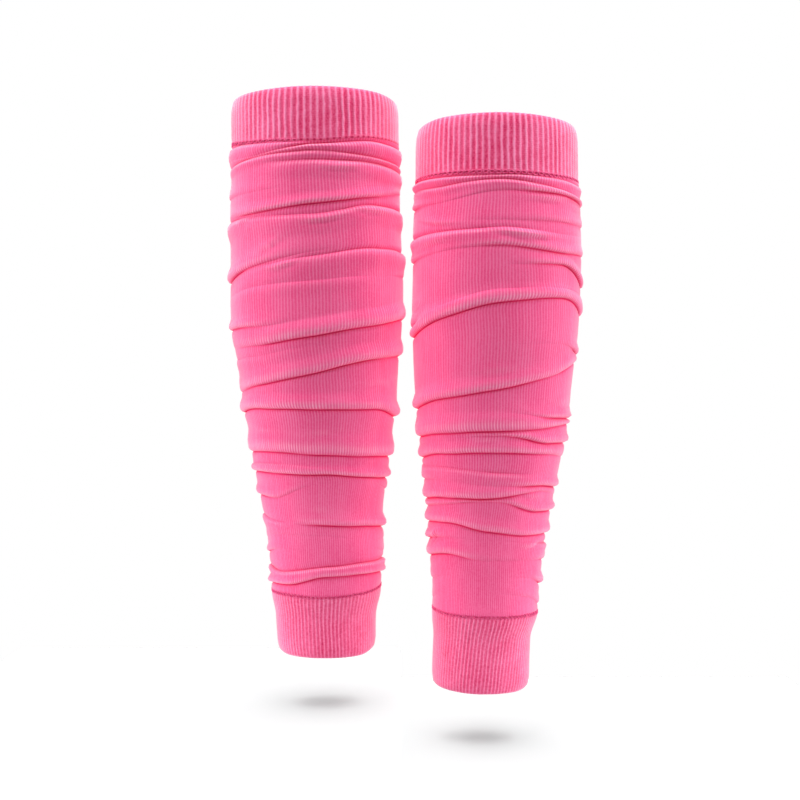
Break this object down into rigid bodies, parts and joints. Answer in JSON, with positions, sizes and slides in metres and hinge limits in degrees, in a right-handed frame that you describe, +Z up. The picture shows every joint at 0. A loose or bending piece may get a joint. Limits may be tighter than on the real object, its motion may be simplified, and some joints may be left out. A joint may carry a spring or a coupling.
{
  "type": "pair of calf compression sleeves",
  "caption": "Knitted leg sleeves with ribbed knee and ankle cuffs, standing filled out and scrunched into soft stacked folds.",
  "frame": {"origin": "between the two legs at mid-calf height, where the wearer's calves hold the sleeves up", "axes": "+Z up along the legs from ankle to knee, -Y towards the front of the sleeves, +X towards the sleeve at the viewer's right"},
  "size_m": [0.2397, 0.12, 0.3906],
  "materials": {
    "left_knee_cuff": "matte rib knit",
    "left_calf_tube": "matte fine knit",
    "left_ankle_cuff": "matte rib knit",
    "right_knee_cuff": "matte rib knit",
    "right_calf_tube": "matte fine knit",
    "right_ankle_cuff": "matte rib knit"
  },
  "bodies": {
    "root": {"left_knee_cuff": "left_knee_cuff", "left_calf_tube": "left_calf_tube", "left_ankle_cuff": "left_ankle_cuff", "right_knee_cuff": "right_knee_cuff", "right_calf_tube": "right_calf_tube", "right_ankle_cuff": "right_ankle_cuff"}
  },
  "joints": []
}
